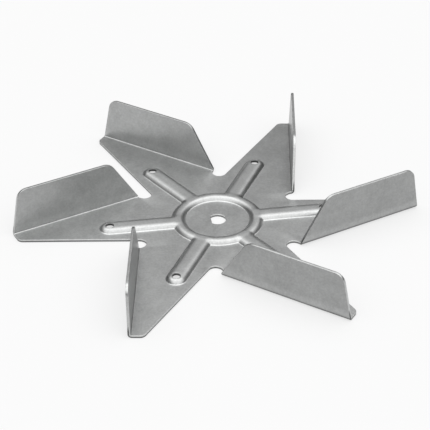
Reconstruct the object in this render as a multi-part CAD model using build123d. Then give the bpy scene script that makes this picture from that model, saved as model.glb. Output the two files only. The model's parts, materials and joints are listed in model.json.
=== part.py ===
"""Axial fan wheel: six blades folded up from one stamping of sheet steel.

The wheel lies flat on its back. The underside of the sheet is the plane Z = 0, the shaft axis is Z
and the blades stand up along +Z. Arm 0 has its stiffening rib along +X, and the other arms are
copies turned about Z. Lengths are millimetres and angles are degrees.
"""

from build123d import *
from math import cos, radians, sin, sqrt, tan
import os

# The sheet, and the wheel as a whole
sheet_thickness = 1.0
blade_count = 6
tip_diameter = 150.0

# Shaft hole: a round hole with one flat, which drives the wheel
shaft_hole_diameter = 6.4
shaft_flat_distance = 2.35

# Fold line of a blade, on the clockwise side of its arm's rib
fold_distance = 28.0
fold_angle = 20.3
fold_start = 18.8
fold_inner_radius = 0.5
blade_lean = 1.5

# Blade, seen square to its face
blade_height = 17.45
blade_inner_rake = 10.5
blade_outer_rake = 3.2
blade_inner_corner_radius = 4.8
blade_outer_corner_radius = 4.0

# Arm: a tip cut square to the fold, and a straight free edge that runs back to the relief notch
tip_width = 4.45
tip_corner_radius = 2.4
free_edge_angle = 8.3
notch_radius = 2.7
notch_exit_angle = 31.0

# Pressed stiffening: a ring round the hub and a rib along each arm, raised on the blade side
press_height = 1.5
press_wall_angle = 60.0
press_crest_radius = 2.5
press_foot_radius = 0.4
ring_inner_diameter = 23.8
ring_width = 5.1
rib_width = 7.5
rib_end_distance = 40.0
rib_root_radius = 1.0
rib_hole_diameter = 3.0

# Worked out from the sizes above
arm_pitch = 360.0 / blade_count
fold_turn = 90.0 - blade_lean
fold_setback = fold_inner_radius * tan(radians(fold_turn / 2))
fold_top = sheet_thickness + fold_inner_radius
blade_top = sheet_thickness + blade_height
fold_end = sqrt((tip_diameter / 2) ** 2 - fold_distance**2)
fold_along = Vector(cos(radians(fold_angle)), sin(radians(fold_angle)), 0)
fold_outward = Vector(sin(radians(fold_angle)), -cos(radians(fold_angle)), 0)
press_wall_run = press_height / tan(radians(press_wall_angle))
press_inset = sheet_thickness * tan(radians(press_wall_angle / 2))
ring_outer_radius = ring_inner_diameter / 2 + ring_width
blank_diameter = tip_diameter + 2 * sheet_thickness


def by_fold(distance, inset=0.0):
    """Point in plan at a distance along the fold line, moved from it towards the rib by the inset."""
    return fold_along * distance + fold_outward * (fold_distance - inset)


def left_of(direction):
    """Direction in plan at right angles to the one given, on its left."""
    return Vector(-direction.Y, direction.X, 0)


def crossing(point_a, direction_a, point_b, direction_b):
    """Point in plan where two lines cross."""
    step = (point_b - point_a).cross(direction_b).Z / direction_a.cross(direction_b).Z
    return point_a + direction_a * step


def arm_outline():
    """Edges in plan from an arm's fold round its tip, its free edge and its notch to the next arm."""
    fold_outer_end = by_fold(fold_end, fold_setback)
    fold_inner_end = by_fold(fold_start, fold_setback)
    next_fold = fold_inner_end.rotate(Axis.Z, arm_pitch)
    tip_corner = by_fold(fold_end, tip_width)

    # The notch is an arc that touches the free edge and the short edge that leads to the next fold.
    free_edge = Vector(-cos(radians(free_edge_angle)), sin(radians(free_edge_angle)), 0)
    exit_edge = fold_outward.rotate(Axis.Z, arm_pitch + notch_exit_angle)
    centre = crossing(
        tip_corner - left_of(free_edge) * notch_radius,
        free_edge,
        next_fold - left_of(exit_edge) * notch_radius,
        exit_edge,
    )
    notch_start = centre + left_of(free_edge) * notch_radius
    notch_end = centre + left_of(exit_edge) * notch_radius
    notch_middle = centre + (left_of(free_edge) + left_of(exit_edge)).normalized() * notch_radius
    return [
        Line(fold_inner_end, fold_outer_end),
        FilletPolyline(fold_outer_end, tip_corner, notch_start, radius=tip_corner_radius),
        ThreePointArc(notch_start, notch_middle, notch_end),
        Line(notch_end, next_fold),
    ]


def star_plan():
    """Plan of the flat part of the stamping, out to where each fold begins."""
    edges = [edge for curve in arm_outline() for edge in curve.edges()]
    return make_face([edge.rotate(Axis.Z, arm * arm_pitch) for arm in range(blade_count) for edge in edges])


def press_plan(inset):
    """Plan of the ring, filled in, with its six ribs, drawn inside the foot of the ribs by the inset."""
    rib_half_width = rib_width / 2 - inset
    plan = Sketch() + Circle(ring_outer_radius - inset)
    rib = Pos(rib_end_distance / 2, 0) * Rectangle(rib_end_distance, 2 * rib_half_width)
    rib += Pos(rib_end_distance, 0) * Circle(rib_half_width)
    for arm in range(blade_count):
        plan += Rot(0, 0, arm * arm_pitch) * rib
    roots = plan.vertices().sort_by(lambda corner: corner.center().length)[: 2 * blade_count]
    return fillet(roots, rib_root_radius + inset)


def pressing(inset, bend_radius):
    """Solid of the ring and ribs with sloping walls and a rounded crest, standing on Z = 0."""
    solid = extrude(press_plan(inset), press_height, taper=90 - press_wall_angle)
    hub_radius = ring_inner_diameter / 2 + inset
    solid -= Pos(0, 0, press_height / 2) * Cone(hub_radius, hub_radius + press_wall_run, press_height)
    crest_half_width = min(ring_width, rib_width) / 2 - inset - press_wall_run
    widest_crest_radius = 0.95 * crest_half_width / tan(radians(press_wall_angle / 2))
    return fillet(solid.faces().sort_by(Axis.Z)[-1].edges(), min(bend_radius, widest_crest_radius))


def feet(blank, height):
    """Edges where the pressing meets the flat face of the blank at this height."""
    edges = blank.edges().filter_by_position(Axis.Z, height, height)
    return edges.filter_by(lambda edge: (edge @ 0).length < tip_diameter / 2)


def pressed_blank():
    """Round blank with the ring and ribs pressed up in it, the same thickness all over."""
    blank = Cylinder(blank_diameter / 2, sheet_thickness, align=(Align.CENTER, Align.CENTER, Align.MIN))
    blank += Pos(0, 0, sheet_thickness) * pressing(0, press_crest_radius)
    blank -= pressing(press_inset, press_crest_radius - sheet_thickness)

    blank = fillet(feet(blank, sheet_thickness), press_foot_radius)
    return fillet(feet(blank, 0), press_foot_radius + sheet_thickness)


def blade():
    """One folded blade: the bend and the upright face, trimmed to its shape in side view."""
    rise = Vector(sin(radians(blade_lean)), cos(radians(blade_lean))) * (2 * blade_height)
    inside_corner = Vector(0, sheet_thickness)
    outside_corner = Vector(sheet_thickness * tan(radians(fold_turn / 2)), 0)
    inside = FilletPolyline(
        (-2 * fold_setback, sheet_thickness), inside_corner, inside_corner + rise, radius=fold_inner_radius
    )
    outside = FilletPolyline((-2 * fold_setback, 0), outside_corner, outside_corner + rise, radius=fold_top)
    section = make_face([inside, outside, Line(inside @ 0, outside @ 0), Line(inside @ 1, outside @ 1)])
    section_plane = Plane(origin=by_fold(fold_end), x_dir=fold_outward, z_dir=-fold_along)
    strip = extrude(section_plane * section, fold_end - fold_start)

    side_view = make_face(
        FilletPolyline(
            (fold_start, 0),
            (fold_start, fold_top),
            (fold_start + blade_inner_rake, blade_top),
            (fold_end - blade_outer_rake, blade_top),
            (fold_end, fold_top),
            (fold_end, 0),
            radius=[0, 0, blade_inner_corner_radius, blade_outer_corner_radius, 0, 0],
            close=True,
        )
    )
    side_plane = Plane(origin=by_fold(0), x_dir=fold_along, z_dir=fold_outward)
    return strip & extrude(side_plane * side_view, blade_height, both=True)


def shaft_hole():
    """Cutter for the round hole with one flat, the flat square to -X."""
    square = Rectangle(shaft_hole_diameter, shaft_hole_diameter)
    plan = Circle(shaft_hole_diameter / 2) & Pos(shaft_hole_diameter / 2 - shaft_flat_distance, 0) * square
    return extrude(plan, blade_top, both=True)


def fan_wheel():
    """The whole wheel, as one solid."""
    wheel = pressed_blank() & extrude(star_plan(), blade_top)
    folded_blade = blade()
    rib_hole = Pos(rib_end_distance, 0) * Cylinder(rib_hole_diameter / 2, 2 * blade_top)
    for arm in range(blade_count):
        wheel += Rot(0, 0, arm * arm_pitch) * folded_blade
        wheel -= Rot(0, 0, arm * arm_pitch) * rib_hole
    return wheel - shaft_hole()


if __name__ == "__main__":
    os.makedirs("parts", exist_ok=True)
    export_step(fan_wheel(), "parts/fan_wheel.step")
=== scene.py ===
# %% [markdown]
# # A fan wheel folded from one sheet of steel
#
# The real wheel starts as a flat star of sheet steel. A press punches its outline and its holes, raises
# a ring and six ribs in it, and folds one side of each arm up into a blade. This lesson makes the
# surface in that same order: a flat drawing of the blank, then a formula that presses it and another
# that folds it. The wheel could also be shaped by hand in edit mode, but a formula keeps the sheet
# equally thick everywhere, and its numbers can be changed later.
#
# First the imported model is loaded. It fixes where the wheel is and how large it is.

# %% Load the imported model
import json
import math

import bpy
import numpy as np
from mathutils import Matrix, Vector
from mathutils.geometry import delaunay_2d_cdt


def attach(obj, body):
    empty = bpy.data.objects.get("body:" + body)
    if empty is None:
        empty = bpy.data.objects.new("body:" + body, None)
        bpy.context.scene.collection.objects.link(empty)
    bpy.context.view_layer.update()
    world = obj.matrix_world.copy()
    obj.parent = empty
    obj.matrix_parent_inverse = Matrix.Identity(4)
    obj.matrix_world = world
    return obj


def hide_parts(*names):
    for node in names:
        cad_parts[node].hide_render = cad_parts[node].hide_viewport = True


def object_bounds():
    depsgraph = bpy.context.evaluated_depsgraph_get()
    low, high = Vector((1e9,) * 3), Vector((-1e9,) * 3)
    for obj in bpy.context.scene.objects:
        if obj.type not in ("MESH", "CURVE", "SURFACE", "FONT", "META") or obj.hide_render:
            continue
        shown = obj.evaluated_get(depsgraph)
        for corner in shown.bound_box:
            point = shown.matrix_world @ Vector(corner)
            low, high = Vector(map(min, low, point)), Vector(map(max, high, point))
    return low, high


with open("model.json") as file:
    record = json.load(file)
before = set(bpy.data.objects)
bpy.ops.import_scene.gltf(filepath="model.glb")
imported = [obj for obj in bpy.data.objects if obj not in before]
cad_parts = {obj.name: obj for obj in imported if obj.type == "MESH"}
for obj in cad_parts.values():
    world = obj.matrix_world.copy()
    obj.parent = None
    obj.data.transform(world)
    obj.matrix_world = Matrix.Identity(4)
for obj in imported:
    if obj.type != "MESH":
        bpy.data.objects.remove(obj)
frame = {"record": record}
cad_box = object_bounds()

# %% [markdown]
# ## Sizes
#
# What the wheel shares with other parts is read from the frame: how thick the sheet is between its two
# mounting faces, where the rib holes are, and how high the blades stand. The other sizes belong to the
# stamping tool. Lengths are millimetres until the mesh is made, and angles are degrees.

# %% Sizes read from the frame
MM = 0.001
mounts = {mount["name"]: mount for mount in frame["record"]["mounts"]}
sheet = (mounts["hub_face"]["pos_m"][2] - mounts["back_face"]["pos_m"][2]) / MM
press_height = mounts["rib_holes"]["pos_m"][2] / MM - sheet
rib_hole_radius = mounts["rib_holes"]["dims"]["hole_r_mm"]
rib_end = mounts["rib_holes"]["dims"]["pcd_mm"] / 2
arm_count = mounts["rib_holes"]["dims"]["count"]
blade_top = cad_box[1][2] / MM
print(f"sheet {sheet:.2f}, pressed up {press_height:.2f}, blades to {blade_top:.2f} mm, {arm_count} arms")

# %% Sizes of the stamping tool
TIP_RADIUS = 75.0
FOLD_DISTANCE, FOLD_ANGLE, FOLD_START = 28.0, 20.3, 18.8
FOLD_RADIUS, BLADE_LEAN = 0.5, 1.5
INNER_RAKE, OUTER_RAKE = 10.5, 3.2
INNER_CORNER, OUTER_CORNER, TIP_CORNER, FOLD_CORNER = 4.8, 4.0, 2.4, 0.8
TIP_WIDTH, FREE_EDGE_ANGLE = 4.45, 8.3
NOTCH_RADIUS, NOTCH_EXIT_ANGLE = 2.7, 31.0
SHAFT_HOLE_RADIUS, SHAFT_FLAT = 3.2, 2.35
RING_INNER, RING_OUTER, RIB_HALF_WIDTH, ROOT_RADIUS = 11.9, 17.0, 3.75, 1.0

arm_pitch = 360.0 / arm_count
fold_turn = math.radians(90.0 - BLADE_LEAN)
bend_start = FOLD_DISTANCE - FOLD_RADIUS * math.tan(fold_turn / 2)
bend_length = (FOLD_RADIUS + sheet / 2) * fold_turn
blade_length = (blade_top - sheet - FOLD_RADIUS) / math.sin(fold_turn)
fold_end = math.sqrt(TIP_RADIUS**2 - FOLD_DISTANCE**2)
print(f"fold {fold_end - FOLD_START:.1f} long, bend {bend_length:.2f} and blade {blade_length:.2f} mm wide")

# %% [markdown]
# ## The flat blank
#
# A point of the flat sheet is written as one complex number, x + iy. That makes plan work short: a
# length and an angle multiply in, a turn about the shaft is one multiplication, and i times a heading is
# the direction on its left. The blank has the blades laid out flat beside their arms, as the press finds
# them. Its outline is a polygon whose corners are arcs, drawn so that the steel is always on the left.

# %% Plan tools
ARC_STEP, LEAST_ARC_STEPS = 6.0, 4


def heading(degrees):
    """Unit step in a direction: cos + i sin of the angle."""
    return np.exp(1j * np.radians(degrees))


FOLD_ALONG = heading(FOLD_ANGLE)
FOLD_OUT = heading(FOLD_ANGLE - 90.0)


def by_fold(along, out):
    """Plan point at a distance along the fold line of arm 0, and at a distance out from the shaft."""
    return FOLD_ALONG * along + FOLD_OUT * out


def crossing(point_a, way_a, point_b, way_b):
    """Where two lines cross: a + s u, with s the cross product of b - a and v over that of u and v."""
    share = (np.conj(point_b - point_a) * way_b).imag / (np.conj(way_a) * way_b).imag
    return point_a + way_a * share


def on_every_arm(points):
    """The points repeated for each arm, turned by its pitch."""
    return np.concatenate([points * heading(arm * arm_pitch) for arm in range(arm_count)])


class Loop:
    """A closed line in the plan: its points, and at each point the unit step into the steel."""

    def __init__(self, points, inward):
        self.points = points
        self.inward = inward

    def moved(self, distance):
        """The loop carried into the steel by a distance."""
        return self.points + self.inward * distance


def rounded_loop(corners, radii, spacings):
    """Closed polygon with round corners.

    A corner that turns the path by t has an arc of radius r, which touches both runs r tan(t/2) from
    the corner. Its centre is r to the side that the path turns to, and its points turn about that
    centre. Each run between two arcs is divided evenly.
    """
    way = np.roll(corners, -1) - corners
    way = way / abs(way)
    way_in = np.roll(way, 1)
    turn = np.angle(way / way_in)
    touch = corners - way_in * radii * np.tan(abs(turn) / 2)
    points, headings = [], []
    for i in range(len(corners)):
        steps = max(LEAST_ARC_STEPS, math.ceil(abs(turn[i]) / math.radians(ARC_STEP)))
        turned = np.exp(1j * turn[i] * np.linspace(0, 1, steps + 1))
        centre = touch[i] + 1j * np.sign(turn[i]) * way_in[i] * radii[i]
        points.append(centre + (touch[i] - centre) * turned)
        headings.append(way_in[i] * turned)
        last = (i + 1) % len(corners)
        run = touch[last] - points[-1][-1]
        steps = max(1, math.ceil(abs(run) / spacings[i]))
        points.append(points[-1][-1] + run * np.linspace(0, 1, steps + 1)[1:-1])
        headings.append(np.full(steps - 1, way[i]))
    return Loop(np.concatenate(points), 1j * np.concatenate(headings))


print("inner end of the fold of arm 0:", np.round(by_fold(FOLD_START, FOLD_DISTANCE), 2))

# %% [markdown]
# Each arm has seven corners: two at the inner end of the bend, two at the blade's free edge, one at the
# outer end of the bend, one at the tip, and one in the notch before the next arm. The two runs that cross
# the bend get points close together, because they are rolled up later, and the others get few.

# %% Outline of the blank
bend_end = bend_start + bend_length
blade_edge = bend_end + blade_length
tip_corner = by_fold(fold_end, FOLD_DISTANCE - TIP_WIDTH)
next_fold = by_fold(FOLD_START, bend_start) * heading(arm_pitch)
notch_corner = crossing(
    tip_corner,
    heading(180.0 - FREE_EDGE_ANGLE),
    next_fold,
    FOLD_OUT * heading(arm_pitch + NOTCH_EXIT_ANGLE),
)
arm_corners = np.array([
    by_fold(FOLD_START, bend_start),
    by_fold(FOLD_START, bend_end),
    by_fold(FOLD_START + INNER_RAKE, blade_edge),
    by_fold(fold_end - OUTER_RAKE, blade_edge),
    by_fold(fold_end, bend_end),
    tip_corner,
    notch_corner,
])
arm_radii = [FOLD_CORNER, FOLD_CORNER, INNER_CORNER, OUTER_CORNER, FOLD_CORNER, TIP_CORNER, NOTCH_RADIUS]
FINE, COARSE = 0.15, 1.5
arm_spacings = [FINE, COARSE, COARSE, COARSE, FINE, COARSE, COARSE]
outline = rounded_loop(
    on_every_arm(arm_corners), np.tile(arm_radii, arm_count), np.tile(arm_spacings, arm_count)
)
print(f"outline: {len(outline.points)} points, {abs(np.diff(outline.points)).sum():.0f} mm long")

# %% [markdown]
# The holes are loops too, run through clockwise, so that the steel is on their left as well. The rib
# holes are circles. The shaft hole is a circle with one flat: its radius at an angle is the smaller of
# the circle's and the flat's, and a high power mean of the two rounds the corners between them.

# %% Holes
def hole_loop(centre, radius_at, count):
    """Loop round a hole: the centre plus radius(a) times the heading a, with a running backwards."""
    angles = np.linspace(360.0, 0.0, count, endpoint=False)
    points = centre + radius_at(angles) * heading(angles)
    along = np.roll(points, -1) - np.roll(points, 1)
    return Loop(points, 1j * along / abs(along))


def shaft_hole_radius(angles):
    """Power mean of the circle's radius and the distance to the flat, which is on the -x side.

    A heading that points away from the flat never meets it, so its cosine is held just above 0.
    """
    power, least_cosine = 36.0, 1e-3
    towards_flat = np.maximum(-np.cos(np.radians(angles)), least_cosine)
    return (SHAFT_HOLE_RADIUS**-power + (SHAFT_FLAT / towards_flat) ** -power) ** (-1 / power)


def circle_radius(angles):
    """The rib hole's radius, the same at every angle."""
    return np.full(len(angles), rib_hole_radius)


SHAFT_HOLE_POINTS, RIB_HOLE_POINTS = 120, 48
shaft_hole = hole_loop(0.0, shaft_hole_radius, SHAFT_HOLE_POINTS)
rib_holes = [
    hole_loop(rib_end * heading(arm * arm_pitch), circle_radius, RIB_HOLE_POINTS)
    for arm in range(arm_count)
]
print(f"holes: one with {len(shaft_hole.points)} points, {len(rib_holes)} with {len(rib_holes[0].points)}")

# %% [markdown]
# ## The pressed ring and ribs
#
# A press pushes the ring and the ribs up between two shaped blocks. Cut across, each is a dome that
# leaves the flat in a small foot radius. That is written as a height over every point of the plan: one
# dome across the ring, one across each rib, the higher of them where they meet, and a soft change from
# one to the next. All walls are equally steep at the foot, so the wide ribs have flatter crests than the
# narrow ring. The ring's crest lies a little inside its middle, and there the ribs fade out, so that the
# wall round the hub is a plain circle. A sculpted bump would never be as even, and a displacement image
# would be coarse.

# %% Height of the pressing
WALL_SLOPE, CREST_SHIFT, ROOT_FADE = 1.55, 0.2, 1.5
FOOT_BLEND, ROOT_BLEND, TOP_BLEND = 0.2, 0.8, 0.2
SLOPE_STEP = 0.01
ring_middle, ring_half_width = (RING_INNER + RING_OUTER) / 2, (RING_OUTER - RING_INNER) / 2
ring_crest = ring_middle - CREST_SHIFT


def soft_max(a, b, blend):
    """The larger of two heights, plus (blend - difference) squared over 4 blend where they are close."""
    return np.maximum(a, b) + np.maximum(blend - abs(a - b), 0) ** 2 / (4 * blend)


def dome(across, half_width):
    """Height times 1 less (across / half width) to a power, which goes straight on down beyond the foot.

    The power is the one that gives the wall its slope at the foot: slope * half width / height. A wide
    rib then has a flatter crest than the narrow ring, with a wall just as steep.
    """
    share = across / half_width
    power = WALL_SLOPE * half_width / press_height
    sinking = np.minimum(share, 1.0) ** power + power * np.maximum(share - 1.0, 0)
    return press_height * (1 - sinking)


def press_rise(points):
    """Height of the sheet's top face over the flat: ring and ribs by soft maximum, and the flat as well.

    The distance across the ring is measured from its crest, and the half width is that of the side a
    point is on. The distance across a rib is measured from its middle line. Past the rib's end it is
    measured from the end point, and inside the ring's middle line it grows so that the rib ends at the
    ring's foot. What the ribs add to the ring fades inside the ring's crest as s^2 (3 - 2 s), with s
    falling evenly from 1 at the crest. A last soft minimum keeps the crests at the pressed height.
    """
    away = abs(points) - ring_crest
    half_width = np.where(away > 0, RING_OUTER - ring_crest, ring_crest - RING_INNER)
    ring_rise = dome(abs(away), half_width)
    rise = ring_rise
    for arm in range(arm_count):
        local = points * heading(-arm * arm_pitch)
        beyond = np.maximum(local.real - rib_end, 0)
        before = np.maximum(ring_middle - local.real, 0) * RIB_HALF_WIDTH / ring_half_width
        across = np.sqrt(local.imag**2 + beyond**2 + before**2)
        rise = soft_max(rise, dome(across, RIB_HALF_WIDTH), ROOT_BLEND)
    share = np.clip(1 + away / ROOT_FADE, 0, 1)
    rise = ring_rise + (rise - ring_rise) * share**2 * (3 - 2 * share)
    rise = -soft_max(-rise, -press_height, TOP_BLEND)
    return soft_max(rise, 0.0, FOOT_BLEND)


def slope_of(height_at, points):
    """Steepness of a height as a complex number: differences over a small step along x and along y."""
    along_x = height_at(points + SLOPE_STEP) - height_at(points - SLOPE_STEP)
    along_y = height_at(points + 1j * SLOPE_STEP) - height_at(points - 1j * SLOPE_STEP)
    return (along_x + 1j * along_y) / (2 * SLOPE_STEP)


half_way = (ring_crest + rib_end) / 2
section = np.linspace(0, RIB_HALF_WIDTH, 6)
print("height from a rib's middle to its foot:", press_rise(half_way + 1j * section).round(2))

# %% [markdown]
# The foot line round the outside of the ring and the ribs is again made of arcs and straight runs: an arc
# of the ring, a small fillet into the rib, the rib's side, its round end, and the same back again.

# %% Foot lines
def arc(centre, radius, first, last, spacing):
    """Points and headings along an arc: the centre plus r times the heading a, with a between two angles."""
    steps = max(2, math.ceil(abs(radius * math.radians(last - first)) / spacing))
    turned = heading(np.linspace(first, last, steps + 1))
    return centre + radius * turned, 1j * np.sign(last - first) * turned


def rib_foot(spacing):
    """Foot line round one rib, from the ring's arc before it to the ring's arc after it."""
    fillet_y = RIB_HALF_WIDTH + ROOT_RADIUS
    fillet_x = math.sqrt((RING_OUTER + ROOT_RADIUS) ** 2 - fillet_y**2)
    lean = math.degrees(math.atan2(fillet_y, fillet_x))
    fillet_below, ways_below = arc(fillet_x - 1j * fillet_y, ROOT_RADIUS, 180 - lean, 90, spacing / 3)
    end, ways_end = arc(rib_end, RIB_HALF_WIDTH, -90, 90, spacing / 2)
    fillet_above, ways_above = arc(fillet_x + 1j * fillet_y, ROOT_RADIUS, 270, 180 + lean, spacing / 3)
    steps = math.ceil((rib_end - fillet_x) / spacing)
    share = np.linspace(0, 1, steps + 1)[1:-1]
    ring, ways_ring = arc(0, RING_OUTER, lean, arm_pitch - lean, spacing)
    points = np.concatenate([
        fillet_below,
        fillet_below[-1] + (end[0] - fillet_below[-1]) * share,
        end,
        end[-1] + (fillet_above[0] - end[-1]) * share,
        fillet_above,
        ring[1:-1],
    ])
    ways = np.concatenate([
        ways_below,
        np.full(len(share), 1.0 + 0j),
        ways_end,
        np.full(len(share), -1.0 + 0j),
        ways_above,
        ways_ring[1:-1],
    ])
    return points, ways


OUTER_FOOT_SPACING, INNER_FOOT_SPACING = 0.8, 0.6
foot_points, foot_ways = rib_foot(OUTER_FOOT_SPACING)
outer_foot = Loop(on_every_arm(foot_points), 1j * on_every_arm(foot_ways))
ring_points, ring_ways = arc(0, RING_INNER, 360, 0, INNER_FOOT_SPACING)
inner_foot = Loop(ring_points[:-1], 1j * ring_ways[:-1])

# Rows of points follow a foot line from just outside it to well up the wall, closest at the foot.
press_rows = np.concatenate([[-0.4], np.arange(-0.2, 0.41, 0.1), np.arange(0.6, 2.0, 0.2)])
print(f"foot lines: {len(outer_foot.points)} and {len(inner_foot.points)} points")

# %% [markdown]
# ## From the plan to the sheet
#
# Every point of the steel is now four values: its place in the plan, how high the press lifts it, how
# steeply the sheet climbs there, and how deep it lies under the sheet's top face. One function turns
# them into a place in space. It goes down into the steel at right angles to the face, so that a wall of
# the ring is as thick as the flat, and it rolls whatever lies past a fold line round the fold. A pressed
# sheet is never quite even, so a few long, low waves are added. Beside each fold's inner end a wedge is
# marked as well, where the finish later paints a sheen: a painted highlight standing for the steel that
# folding pulls there.

# %% Press and fold
WAVE_HEIGHT = 0.02
# Each wave: its length, the heading it runs in and its shift in radians.
WAVES = ((61.0, 20.0, 0.3), (43.0, 101.0, 1.9), (29.0, 157.0, 4.1), (19.0, 63.0, 2.6))
LONGEST_WAVE = WAVES[0][0]
PULL_ANGLE, PULL_LENGTH, PULL_WIDTH = 118.5, 14.0, 8.0


def waves(points):
    """Unevenness of a pressed sheet: a sum of plane waves h (1 + sin), which fades out towards the hub.

    The height h of each is in proportion to its length, so that all are equally steep.
    """
    height = np.zeros(len(points))
    for length, way, shift in WAVES:
        swing = WAVE_HEIGHT * length / LONGEST_WAVE
        height += swing * (1 + np.sin(2 * np.pi * (points * heading(way)).real / length + shift))
    return height * np.clip((abs(points) - RING_OUTER) / RING_OUTER, 0, 1)


def fold_sheen_wedge(points):
    """Share from 0 to 1 of the painted sheen, a painted highlight beside a fold's inner end where folding
    pulls at the sheet.

    It is a wedge on the hub's side of a line from the fold's end across the sheet. It comes up over a
    millimetre from the line and from its start, and fades evenly along it and away from it.
    """
    start = by_fold(FOLD_START, bend_start)
    share = np.zeros(len(points))
    for arm in range(arm_count):
        apart = (points * heading(-arm * arm_pitch) - start) * heading(-PULL_ANGLE)
        rising = np.clip(apart.real, 0, 1) * np.clip(apart.imag, 0, 1)
        fading = np.clip(1 - apart.real / PULL_LENGTH, 0, 1) * np.clip(1 - apart.imag / PULL_WIDTH, 0, 1)
        share = np.maximum(share, rising * fading)
    return share


def fold_up(points, above):
    """Places in space of plan points at a height above the sheet's top face.

    Past a fold line the way out turns into an arc about the fold's centre: out by r sin(a) and down by
    r cos(a) from it, with r the fold radius less the height, and with a growing evenly over the width
    of the bend. Past the bend the way goes straight on at the last angle. Steel of another arm lies past
    the same line too, further back along it than the fold's inner end, and isn't folded with it.
    """
    place = points.copy()
    z = sheet + above
    for arm in range(arm_count):
        turned = points * heading(-arm * arm_pitch)
        along = (turned * np.conj(FOLD_ALONG)).real
        out = (turned * np.conj(FOLD_OUT)).real
        folded = (out > bend_start) & (along > FOLD_START - 2 * FOLD_CORNER)
        past = out[folded] - bend_start
        angle = np.minimum(past / bend_length, 1.0) * fold_turn
        straight = np.maximum(past - bend_length, 0.0)
        radius = FOLD_RADIUS - above[folded]
        new_out = bend_start + radius * np.sin(angle) + straight * np.cos(angle)
        place[folded] = by_fold(along[folded], new_out) * heading(arm * arm_pitch)
        z[folded] = sheet + FOLD_RADIUS - radius * np.cos(angle) + straight * np.sin(angle)
    return np.column_stack([place.real, place.imag, z])


def in_space(points, depth):
    """Places of plan points, lifted by the press and then taken down at right angles to the face.

    The normal is minus the slope in the plan and one upwards, divided by its length.
    """
    slope = slope_of(press_rise, points)
    length = np.sqrt(1 + abs(slope) ** 2)
    return fold_up(points + depth * slope / length, press_rise(points) + waves(points) - depth / length)


# %% [markdown]
# ## Dividing the faces
#
# The flat areas between the loops have odd shapes, so they are divided into triangles between all their
# points, with every loop kept as a line of edges. Blender's constrained Delaunay triangulation does
# that in the plan, where the sheet is flat, and the same triangles serve the top face and the underside.
# Long rows of points follow the bends, and loose points fill the rest, so that the slight waves show.

# %% Points of a face
RIM, RIM_GUARD, FILL, FINE_FILL = 0.15, 0.3, 1.4, 0.45
ROW_SPACING, RING_ROW_TURN = 0.8, 2.5
RING_ROWS = np.array([-0.3, 0.0, 0.3])
CREST_HALF_WIDTH, CREST_ROWS, CREST_START, CREST_STOP = 1.4, 9, 0.5, 2.3
BEND_MARGIN, BEND_ROWS = 0.15, 14


class Face:
    """Collects the plan points of a face, and the edges between them that are kept."""

    def __init__(self):
        self.parts = []
        self.edges = []
        self.size = 0

    def add(self, points):
        """Adds loose points and returns their numbers."""
        numbers = np.arange(len(points)) + self.size
        self.parts.append(points)
        self.size += len(points)
        return numbers

    def add_loop(self, points):
        """Adds a closed line of points, with an edge from each to the next and from the last to the first."""
        numbers = self.add(points)
        self.edges.append(np.column_stack([numbers, np.roll(numbers, -1)]))
        return numbers

    def add_row(self, points):
        """Adds an open line of points, with an edge from each to the next."""
        numbers = self.add(points)
        self.edges.append(np.column_stack([numbers[:-1], numbers[1:]]))


face = Face()
rims = [outline, shaft_hole] + rib_holes
rim_numbers = [face.add_loop(loop.moved(RIM)) for loop in rims]
for loop in (outline, shaft_hole):
    face.add_loop(loop.moved(RIM_GUARD))
for foot in (outer_foot, inner_foot):
    for inside in press_rows:
        face.add_loop(foot.moved(inside))
for radius in ring_middle + RING_ROWS:
    face.add_loop(radius * heading(np.arange(0.0, 360.0, RING_ROW_TURN)))

crest_rows = np.linspace(-CREST_HALF_WIDTH, CREST_HALF_WIDTH, CREST_ROWS)
crest_along = np.arange(RING_OUTER + CREST_START, rib_end - CREST_STOP, ROW_SPACING)
bend_rows = bend_start + bend_length * np.linspace(-BEND_MARGIN, 1 + BEND_MARGIN, BEND_ROWS)
bend_along = np.arange(FOLD_START + 2 * RIM_GUARD, fold_end - 2 * RIM_GUARD, ROW_SPACING)
for arm in range(arm_count):
    for across in crest_rows:
        face.add_row((crest_along + 1j * across) * heading(arm * arm_pitch))
    for out in bend_rows:
        face.add_row(by_fold(bend_along, out) * heading(arm * arm_pitch))
print(f"lines hold {face.size} points")


# %% [markdown]
# Loose points are laid out as a triangular grid over the whole blank. Those that are too close to a line
# or outside the steel are left out. Whether a point is close to others is asked of squared paper, not of
# every pair, which keeps it quick.

# %% Loose points between the lines
COLUMN, CHUNK = 4096, 2000
NEIGHBOURS = (0, 1 + 1j, 1 - 1j, -1 + 1j, -1 - 1j)
CLEARANCE = 0.8


def cells(points, size):
    """Number of the square that each point lies in, on squared paper with columns of 4096 squares."""
    return (np.floor(points.real / size) * COLUMN + np.floor(points.imag / size)).astype(np.int64)


def clear_of(points, others, gap):
    """Which points have none of the others in their own square or in those half a square away."""
    taken = cells(others, gap)
    near = [np.isin(cells(points + gap / 2 * way, gap), taken) for way in NEIGHBOURS]
    return ~np.any(near, axis=0)


def inside_loop(points, loop):
    """Which points a closed line goes round: a ray along +x from them crosses it an odd number of times.

    The points go through in chunks, to keep the tables of points against edges small. An edge along x
    spans no point, and a tiny number keeps its division by zero away.
    """
    tiny = 1e-30
    first, last = loop, np.roll(loop, -1)
    within = np.zeros(len(points), bool)
    for chunk in np.array_split(np.arange(len(points)), 1 + len(points) // CHUNK):
        x, y = points[chunk].real[:, None], points[chunk].imag[:, None]
        spans = (first.imag > y) != (last.imag > y)
        at_x = first.real + (y - first.imag) / (last.imag - first.imag + tiny) * (last.real - first.real)
        within[chunk] = (spans & (x < at_x)).sum(axis=1) % 2 == 1
    return within


def in_steel(points, inset=0.0):
    """Which plan points lie inside the outline and outside every hole, with all of them moved by an inset."""
    steel = inside_loop(points, outline.moved(inset))
    for hole in [shaft_hole] + rib_holes:
        steel &= ~inside_loop(points, hole.moved(inset))
    return steel


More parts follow.
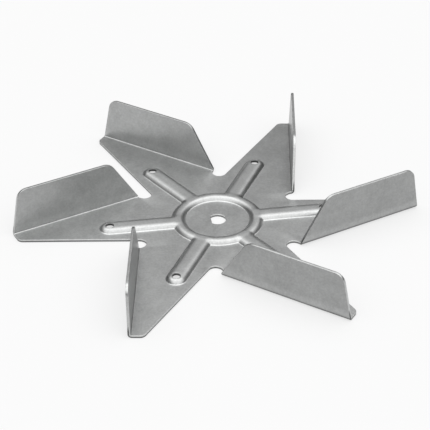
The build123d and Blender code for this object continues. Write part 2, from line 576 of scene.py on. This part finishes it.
def scattered(spacing):
    """Plan points of a triangular grid over the blank that are in the steel and clear of all lines."""
    reach = abs(outline.points).max()
    across = np.arange(-reach, reach, spacing)
    rows = np.arange(-reach, reach, spacing * math.sqrt(3) / 2)
    offset = spacing / 2 * (np.arange(len(rows)) % 2)
    grid = (across[None, :] + offset[:, None] + 1j * rows[:, None]).ravel()
    grid = grid[clear_of(grid, np.concatenate(face.parts), CLEARANCE * spacing)]
    return grid[in_steel(grid)]


pressed = scattered(FINE_FILL)
face.add(pressed[inside_loop(pressed, outer_foot.points) & ~inside_loop(pressed, inner_foot.points)])
face.add(scattered(FILL))
print(f"{face.size} points in all")

# %% [markdown]
# The triangulation fills everything between the points, the holes too. A triangle stays if its middle is
# within the rim, which is the outline and the holes moved a little into the steel, because the edge
# section takes over from there. Slivers between points on one straight run have no area and go as well.

# %% Triangles of a face
MERGE_WITHIN, LEAST_AREA = 1e-7, 5e-7
plan = np.concatenate(face.parts)
edges = np.concatenate(face.edges)
flat_points = [Vector((point.real, point.imag)) for point in plan]
result = delaunay_2d_cdt(flat_points, edges.tolist(), [], 0, MERGE_WITHIN, True)
order = np.array([sources[0] for sources in result[3]])
triangles = order[np.array(result[2])]
corners = plan[triangles]
middles = corners.mean(axis=1)
# The cross product of two sides is twice a triangle's area.
areas = abs(((corners[:, 1] - corners[:, 0]) * np.conj(corners[:, 2] - corners[:, 0])).imag) / 2
triangles = triangles[in_steel(middles, RIM) & (areas > LEAST_AREA)]
print(f"{len(triangles)} triangles")

# %% [markdown]
# ## The cut edges
#
# A punch leaves a typical edge: the side it enters is drawn in a little and rounded, then comes a smooth
# band, and the last part breaks away slightly rough and slanted. That section is carried round every
# loop. It joins the two faces, so the wheel becomes one closed skin. Each vertex also stores what the
# finish needs to know: how far up the pressing it is, whether it is on a cut edge, how deep in the sheet,
# and how much of the painted sheen beside the folds it gets.

# %% Carry the edge section round the loops
EDGE_TOP, EDGE_BOTTOM, BREAK_SLANT = RIM, 0.07, 0.03
BREAK_DEPTH, BREAK_STEP = 0.6, 0.1
quarter = np.radians([22.5, 45.0, 67.5, 90.0])
edge_inset = np.concatenate([
    EDGE_TOP * (1 - np.sin(quarter)),
    [0.0, BREAK_SLANT / 2],
    BREAK_SLANT + EDGE_BOTTOM * (1 - np.cos(quarter - quarter[0])),
])
edge_depth = np.concatenate([
    EDGE_TOP * (1 - np.cos(quarter)),
    [BREAK_DEPTH * sheet, (BREAK_DEPTH + BREAK_STEP) * sheet],
    sheet - EDGE_BOTTOM * (1 - np.sin(quarter - quarter[0])),
])

# The last point is on the underside, half-way to its rim.
edge_inset[-1] = (edge_inset[-2] + RIM) / 2
edge_depth[-1] = sheet

places = [in_space(plan, 0.0), in_space(plan, sheet)]
crest = [press_rise(plan) / press_height] * 2
cut = [np.zeros(2 * len(plan))]
under = [np.zeros(len(plan)), np.ones(len(plan))]
# Share of the painted sheen beside the folds, on the top face only.
painted_fold_sheen = [fold_sheen_wedge(plan), np.zeros(len(plan))]
strips = []
used = 2 * len(plan)
for loop, numbers in zip(rims, rim_numbers):
    count = len(numbers)
    grid = [numbers]
    for inset, depth in zip(edge_inset, edge_depth):
        line = loop.moved(inset)
        places.append(in_space(line, depth))
        crest.append(press_rise(line) / press_height)
        cut.append(np.ones(count))
        under.append(np.full(count, depth / sheet))
        painted_fold_sheen.append(np.zeros(count))
        grid.append(used + np.arange(count))
        used += count
    grid.append(numbers + len(plan))
    upper, lower = np.array(grid[:-1]), np.array(grid[1:])
    quads = [lower, np.roll(lower, -1, axis=1), np.roll(upper, -1, axis=1), upper]
    strips.append(np.stack(quads, axis=-1).reshape(-1, 4))
print(f"edge section of {len(edge_inset) + 2} points on {len(rims)} loops")

# %% Build the wheel
vertices = np.concatenate(places) * MM
faces = triangles.tolist() + (triangles[:, ::-1] + len(plan)).tolist() + np.concatenate(strips).tolist()
mesh = bpy.data.meshes.new("pressed_wheel")
mesh.from_pydata(vertices, [], faces)
mesh.polygons.foreach_set("use_smooth", np.ones(len(faces), bool))
for name, values in (("crest", crest), ("cut_edge", cut), ("underside", under), ("painted_fold_sheen", painted_fold_sheen)):
    layer = mesh.attributes.new(name, "FLOAT", "POINT")
    layer.data.foreach_set("value", np.concatenate(values).astype(np.float32))
mesh.update()
wheel = bpy.data.objects.new("pressed_wheel", mesh)
bpy.context.scene.collection.objects.link(wheel)
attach(wheel, "root")
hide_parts("fan_wheel")
print(f"wheel: {len(vertices)} vertices, {sum(len(polygon) - 2 for polygon in faces)} triangles")

# %% [markdown]
# ## Shader tools
#
# A finish is arithmetic on patterns: a noise times a strength, added to a colour's brightness. Drawn as
# nodes that is a tangle, so one small class wraps a node's output and turns sums, differences and
# products into Math nodes. Every other node comes from one method.

# %% Shader tools
class Value:
    """One output of a node, which can be added, subtracted and multiplied with numbers and others."""

    def __init__(self, shader, socket):
        self.shader = shader
        self.socket = socket

    def _math(self, operation, first, second):
        return self.shader.node("ShaderNodeMath", {"operation": operation}, {0: first, 1: second})

    def __add__(self, other):
        return self._math("ADD", self, other)

    def __sub__(self, other):
        return self._math("SUBTRACT", self, other)

    def __mul__(self, other):
        return self._math("MULTIPLY", self, other)

    def __rsub__(self, other):
        return self._math("SUBTRACT", other, self)

    __radd__ = __add__
    __rmul__ = __mul__


class Shader:
    """The node tree of a material or of the world, which starts empty."""

    def __init__(self, owner):
        owner.use_nodes = True
        self.tree = owner.node_tree
        self.tree.nodes.clear()

    def node(self, kind, settings, inputs, output=0):
        """Adds a node, makes its settings, sets or links its inputs, and returns one of its outputs."""
        made = self.tree.nodes.new(kind)
        for name, value in settings.items():
            setattr(made, name, value)
        for name, value in inputs.items():
            if isinstance(value, Value):
                self.tree.links.new(value.socket, made.inputs[name])
            else:
                made.inputs[name].default_value = value
        return None if output is None else Value(self, made.outputs[output])

    def noise(self, place, size, detail, roughness):
        """Cloudy pattern from -1 to 1, whose clouds are about one size across, in millimetres."""
        inputs = {"Vector": place, "Scale": 1 / (size * MM), "Detail": detail, "Roughness": roughness}
        return self.node("ShaderNodeTexNoise", {}, inputs) * 2.0 - 1.0

    def steps(self, value, low, high):
        """Smooth mask: 0 below the low value, 1 above the high one."""
        settings = {"interpolation_type": "SMOOTHSTEP"}
        return self.node("ShaderNodeMapRange", settings, {"Value": value, "From Min": low, "From Max": high})

    def band(self, value, begins, ends):
        """Smooth mask of a band: it comes up between two values and goes down between two others."""
        return self.steps(value, *begins) * (1.0 - self.steps(value, *ends))

    def stored(self, name):
        """What the mesh stores at its vertices under a name."""
        return self.node("ShaderNodeAttribute", {"attribute_name": name}, {}, "Fac")


# %% [markdown]
# ## Zinc-coated sheet steel
#
# The sheet is cold rolled steel with a thin coat of zinc: a satin grey metal, neither polished nor
# brushed. Close up it has a fine grain, and from further off clouds, smudges and stains where rollers
# and hands have left their marks. Light and shade are painted in on top of that. A painted highlight
# grows with the pressing's height up to the crests, a stronger one runs along the feet, and the walls
# between them carry painted shade. A cut edge has a smooth band and a dark torn one. Where a hole goes
# through a crest its wall is darkened all the way as painted shade, and the underside near the ground,
# out along the outside of the bends, is darkened as a painted contact shadow. The blades are darkened as
# painted shade, and the whole underside a little, partly as a dull finish of that side and partly as
# painted shade. A painted sheen brightens the wedges beside the folds' inner ends. All of this is metal,
# so the patterns change its brightness, and a little its roughness, and leave the colour alone.

# %% Steel
STEEL, STEEL_ROUGHNESS = (0.478, 0.484, 0.481), 0.33

# Each noise: how large its clouds are, its detail and its roughness.
CLOUDS, SMUDGES = (11.0, 3.0, 0.55), (3.0, 3.0, 0.6)
GRAIN, STAINS = (0.8, 3.0, 0.7), (6.5, 4.0, 0.7)

# What each pattern and mark gives to the steel's brightness, or takes from it. The gains on crests,
# feet and the wedges beside the folds are painted highlights. The losses on walls, on rib hole walls,
# on the underside near the ground and on the blades are painted shade, and the underside's loss is
# partly a dull finish and partly painted shade.
CLOUD_TONE, SMUDGE_TONE, GRAIN_TONE, STAIN_LOSS = 0.13, 0.15, 0.26, 0.12
CREST_HIGHLIGHT_GAIN, FOOT_HIGHLIGHT_GAIN, FOLD_SHEEN_GAIN, CUT_GAIN = 0.08, 0.3, 0.45, 0.08
WALL_SHADE_LOSS, TORN_LOSS, HOLE_WALL_SHADE_LOSS, CONTACT_SHADOW_LOSS = 0.16, 0.8, 0.6, 0.75
BLADE_SHADE_LOSS, UNDERSIDE_DULL_AND_SHADE_LOSS = 0.14, 0.13

# Where the marks begin and end: on a noise, on the pressing's height as a share, on the depth in the
# sheet as a share, and in millimetres above the ground.
STAIN_BEGINS = 0.3, 0.7
FOOT_HIGHLIGHT_BEGINS, FOOT_HIGHLIGHT_ENDS = (0.01, 0.05), (0.1, 0.22)
WALL_SHADE_BEGINS, WALL_SHADE_ENDS = (0.12, 0.3), (0.6, 0.85)
HOLE_WALL_SHADE_BEGINS = 0.6, 0.8
TORN_BEGINS = 0.3, 0.6
CONTACT_SHADOW_BELOW, CONTACT_SHADOW_GONE = 0.7, 1.8

# The patterns' shares in the roughness, and the grain's relief.
CLOUD_ROUGHNESS, SMUDGE_ROUGHNESS, TORN_ROUGHNESS = 0.03, 0.03, 0.2
GRAIN_BUMP, GRAIN_DEPTH = 0.2, 0.01


def sheet_steel():
    """The finish of the whole wheel with its painted highlights and shade, from noises on its own coordinates
    and the values in its mesh.
    """
    material = bpy.data.materials.new("zinc_coated_steel")
    shader = Shader(material)
    place = shader.node("ShaderNodeTexCoord", {}, {}, "Object")
    height = shader.node("ShaderNodeSeparateXYZ", {}, {"Vector": place}, "Z")
    crest_share, cut_mask = shader.stored("crest"), shader.stored("cut_edge")
    depth_share, fold_sheen = shader.stored("underside"), shader.stored("painted_fold_sheen")

    clouds = shader.noise(place, *CLOUDS)
    smudges = shader.noise(place, *SMUDGES)
    grain = shader.noise(place, *GRAIN)
    stains = shader.steps(shader.noise(place, *STAINS), *STAIN_BEGINS)

    blade = shader.steps(height, (press_height + sheet) * MM, 2 * (press_height + sheet) * MM)
    # Painted highlight along the feet of the ring and the ribs.
    foot = shader.band(crest_share, FOOT_HIGHLIGHT_BEGINS, FOOT_HIGHLIGHT_ENDS)
    # Painted shade on the walls between the feet and the crests.
    wall = shader.band(crest_share, WALL_SHADE_BEGINS, WALL_SHADE_ENDS)
    torn = cut_mask * shader.steps(depth_share, *TORN_BEGINS) * (1.0 - blade)
    # Painted shade: the walls of holes through the ribs' crests are darkened all the way.
    hole_wall_shade = cut_mask * shader.steps(crest_share, *HOLE_WALL_SHADE_BEGINS)
    # Painted contact shadow: the underside and the outside of the bends are darkened near the ground.
    low = 1.0 - shader.steps(height, CONTACT_SHADOW_BELOW * MM, CONTACT_SHADOW_GONE * MM)
    contact_shadow = depth_share * low * (1.0 - cut_mask)
    # Painted shade on the blades; on the underside a dull finish of that side and painted shade together.
    blade_and_underside_shade = (blade * BLADE_SHADE_LOSS + depth_share * UNDERSIDE_DULL_AND_SHADE_LOSS) * (1.0 - cut_mask)

    tone = 1.0 + clouds * CLOUD_TONE + smudges * SMUDGE_TONE + grain * GRAIN_TONE - stains * STAIN_LOSS
    # Painted highlights: brighter with the pressing's height towards the crests, and on the wedges beside the
    # folds.
    tone = tone + crest_share * CREST_HIGHLIGHT_GAIN + fold_sheen * FOLD_SHEEN_GAIN + foot * FOOT_HIGHLIGHT_GAIN - wall * WALL_SHADE_LOSS
    tone = tone * (1.0 + cut_mask * CUT_GAIN - torn * TORN_LOSS) * (1.0 - hole_wall_shade * HOLE_WALL_SHADE_LOSS)
    tone = tone * (1.0 - blade_and_underside_shade) * (1.0 - contact_shadow * CONTACT_SHADOW_LOSS)
    roughness = STEEL_ROUGHNESS + clouds * CLOUD_ROUGHNESS + smudges * SMUDGE_ROUGHNESS
    roughness = roughness + torn * TORN_ROUGHNESS
    colour = shader.node(
        "ShaderNodeVectorMath", {"operation": "SCALE"}, {0: STEEL, "Scale": tone}, "Vector"
    )
    relief = {"Height": grain, "Strength": GRAIN_BUMP, "Distance": GRAIN_DEPTH * MM}
    bump = shader.node("ShaderNodeBump", {}, relief)
    metal = shader.node(
        "ShaderNodeBsdfPrincipled",
        {},
        {"Base Color": colour, "Metallic": 1.0, "Roughness": roughness, "Normal": bump},
    )
    shader.node("ShaderNodeOutputMaterial", {}, {"Surface": metal}, None)
    return material


mesh.materials.append(sheet_steel())
print(f"steel: {len(mesh.materials[0].node_tree.nodes)} nodes")

# %% [markdown]
# ## Camera
#
# A long lens from about half a metre, looking down on the wheel, shows all six blades and hardly
# narrows the far ones. The camera's place comes from a turn about the shaft axis, a height angle, a
# distance and a small step to the side and up, and its own axes are the columns of its matrix.

# %% Camera
CAMERA_TURN, CAMERA_HEIGHT, CAMERA_ROLL = -8.634, 34.055, -0.254
CAMERA_DISTANCE, CAMERA_SIDE, CAMERA_UP = 0.577105, -0.000913, 0.002362
LENS, SENSOR_WIDTH = 130.3, 36.0

turn, rise, roll = (math.radians(angle) for angle in (CAMERA_TURN, CAMERA_HEIGHT, CAMERA_ROLL))
back = Vector((math.sin(turn) * math.cos(rise), -math.cos(turn) * math.cos(rise), math.sin(rise)))
level = Vector((math.cos(turn), math.sin(turn), 0))
steep = back.cross(level)
right = level * math.cos(roll) + steep * math.sin(roll)
up = steep * math.cos(roll) - level * math.sin(roll)
camera = bpy.data.objects.new("camera", bpy.data.cameras.new("camera"))
camera.data.sensor_width = SENSOR_WIDTH
camera.data.lens = LENS
place = back * CAMERA_DISTANCE + right * CAMERA_SIDE + up * CAMERA_UP
camera.matrix_world = Matrix.Translation(place) @ Matrix((right, up, back)).transposed().to_4x4()
bpy.context.scene.collection.objects.link(camera)
bpy.context.scene.camera = camera
print(f"camera: {LENS} mm lens at {CAMERA_DISTANCE:.3f} m")

# %% [markdown]
# ## Floor and light
#
# Satin metal shows whatever it mirrors, so the light matters as much as the finish. A tent of white
# cloth lit from above does it: bright overhead, soft all round and dim near the ground, which gives each
# crest one broad highlight and leaves the sides of the ribs dark. Lamps could stand in for it, but the
# world can be such a tent by itself, with its brightness worked out from the angle to its middle, which
# is tipped a little towards -y.
#
# The floor is pale and matt. What the camera, a mirror or a glass sees of it is partly lifted to white,
# so that it is a plain background and still carries the wheel's soft shadow.

# %% Floor
FLOOR_TONE, FLOOR_LIFT, FLOOR_SIZE = 0.7, 0.65, 8.0


def pale_floor():
    """Matt floor, mixed with plain white for the rays that look at it."""
    material = bpy.data.materials.new("pale_floor")
    shader = Shader(material)
    matt = shader.node("ShaderNodeBsdfDiffuse", {}, {"Color": (FLOOR_TONE, FLOOR_TONE, FLOOR_TONE, 1.0)})
    white = shader.node("ShaderNodeEmission", {}, {"Strength": 1.0})
    looks = [
        shader.node("ShaderNodeLightPath", {}, {}, ray)
        for ray in ("Is Camera Ray", "Is Glossy Ray", "Is Transmission Ray")
    ]
    seen = looks[0]
    for look in looks[1:]:
        seen = shader.node("ShaderNodeMath", {"operation": "MAXIMUM"}, {0: seen, 1: look})
    mixed = shader.node("ShaderNodeMixShader", {}, {"Fac": seen * FLOOR_LIFT, 1: matt, 2: white})
    shader.node("ShaderNodeOutputMaterial", {}, {"Surface": mixed}, None)
    return material


floor_corners = np.array([[-1, -1, 0], [1, -1, 0], [1, 1, 0], [-1, 1, 0]]) * FLOOR_SIZE / 2
floor_mesh = bpy.data.meshes.new("floor")
floor_mesh.from_pydata(floor_corners.tolist(), [], [[0, 1, 2, 3]])
floor_mesh.materials.append(pale_floor())
floor = bpy.data.objects.new("floor", floor_mesh)
bpy.context.scene.collection.objects.link(floor)
print(f"floor: {FLOOR_SIZE:.0f} m square")

# %% Light tent
TENT_TOP, TENT_GROUND = 1.88, 0.15
TENT_TILT = (0.0, -0.16, 1.0)
TENT_BRIGHT_WITHIN, TENT_DIM_BEYOND = 32.0, 74.0

world = bpy.data.worlds.new("light_tent")
bpy.context.scene.world = world
tent = Shader(world)
towards = tent.node("ShaderNodeTexCoord", {}, {}, "Generated")
middle = Vector(TENT_TILT).normalized()
nearness = tent.node("ShaderNodeVectorMath", {"operation": "DOT_PRODUCT"}, {0: towards, 1: middle}, "Value")
dim, bright = (math.cos(math.radians(angle)) for angle in (TENT_DIM_BEYOND, TENT_BRIGHT_WITHIN))
brightness = TENT_GROUND + (TENT_TOP - TENT_GROUND) * tent.steps(nearness, dim, bright)
shine = tent.node("ShaderNodeBackground", {}, {"Color": brightness, "Strength": 1.0})
tent.node("ShaderNodeOutputWorld", {}, {"Surface": shine}, None)
bpy.context.scene.view_settings.view_transform = "Standard"
print(f"tent: {TENT_TOP} overhead, {TENT_GROUND} near the ground")
